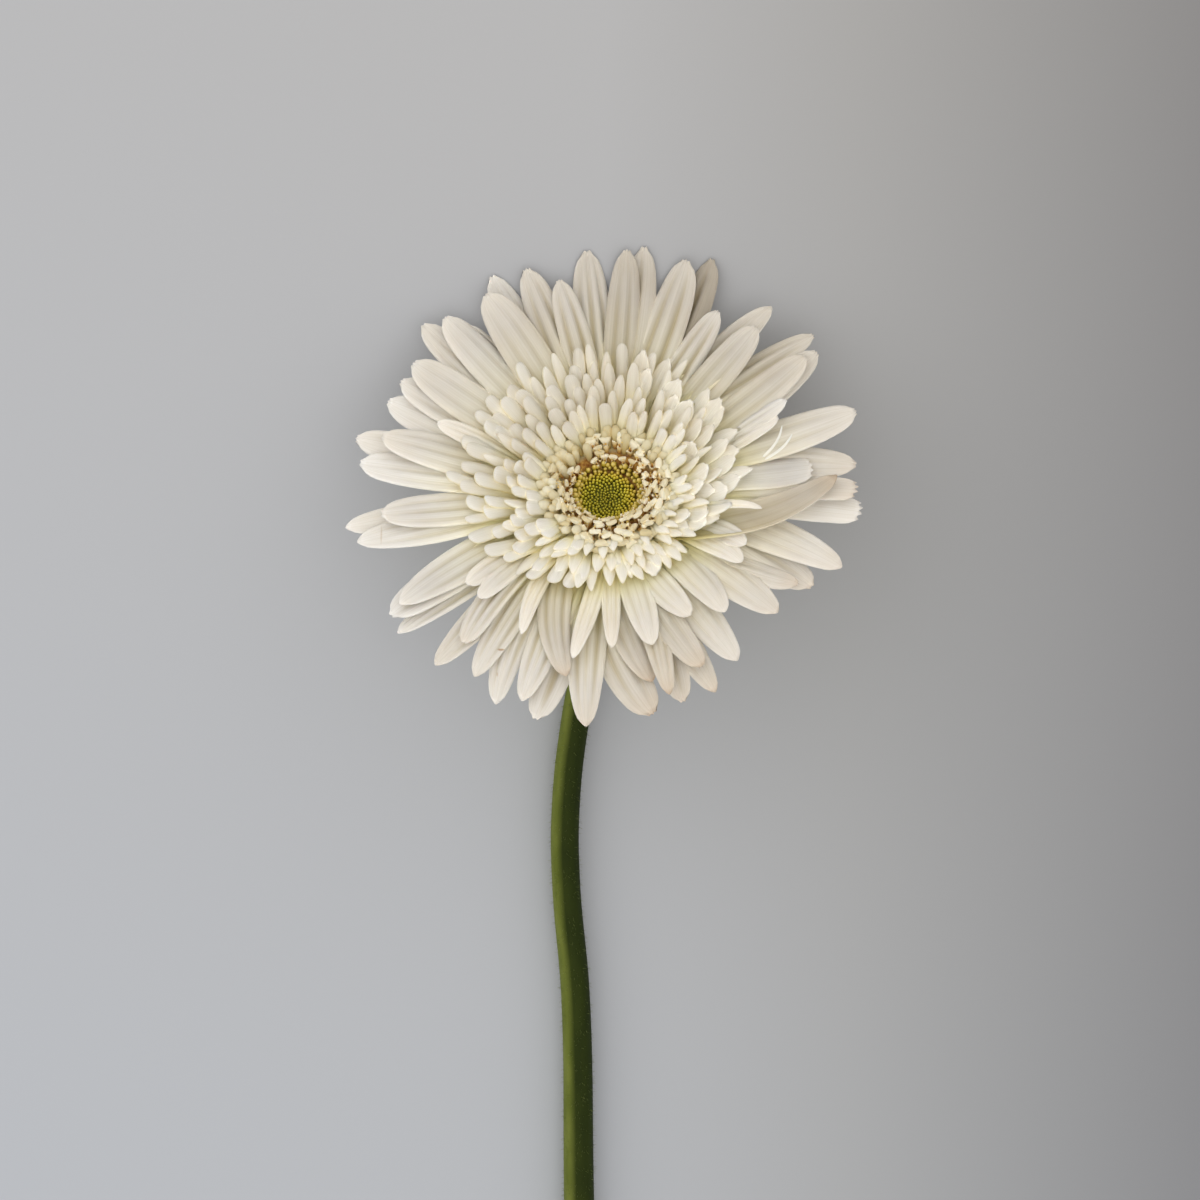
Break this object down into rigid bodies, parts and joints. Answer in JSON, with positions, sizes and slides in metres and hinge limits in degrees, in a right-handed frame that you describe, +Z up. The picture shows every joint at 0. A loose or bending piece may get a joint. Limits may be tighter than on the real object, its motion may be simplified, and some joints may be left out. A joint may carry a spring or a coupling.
{
  "type": "gerbera flower",
  "caption": "Cut white gerbera laid on its side: semi-double daisy bloom with long petals, a fringe of short fingers and a green disc, on a leafless curved stem.",
  "frame": {"origin": "on the table, under the middle of the box round the flower", "axes": "+Z up from the table, +Y along the stem towards the bloom, +X to the right of the picture"},
  "size_m": [0.1143, 0.4053, 0.0614],
  "materials": {
    "petal": "soft matt, creamy white, greenish yellow at the root and faintly rosy beige at the tip",
    "finger_petal": "soft matt, creamy white with a bright rounded tip and a yellow-green root",
    "disc_floret": "matt cream with golden and red-brown specks",
    "disc_bud": "olive green buds with yellow highlights",
    "bract": "matt mid green, slightly hairy",
    "stem": "satin green with fine pale hairs, paler where it was cut"
  },
  "bodies": {
    "root": {"ray_florets": "petal", "trans_florets": "finger_petal", "disc_florets": "disc_floret", "disc_centre": "disc_bud", "involucre": "bract", "stem": "stem"}
  },
  "joints": []
}
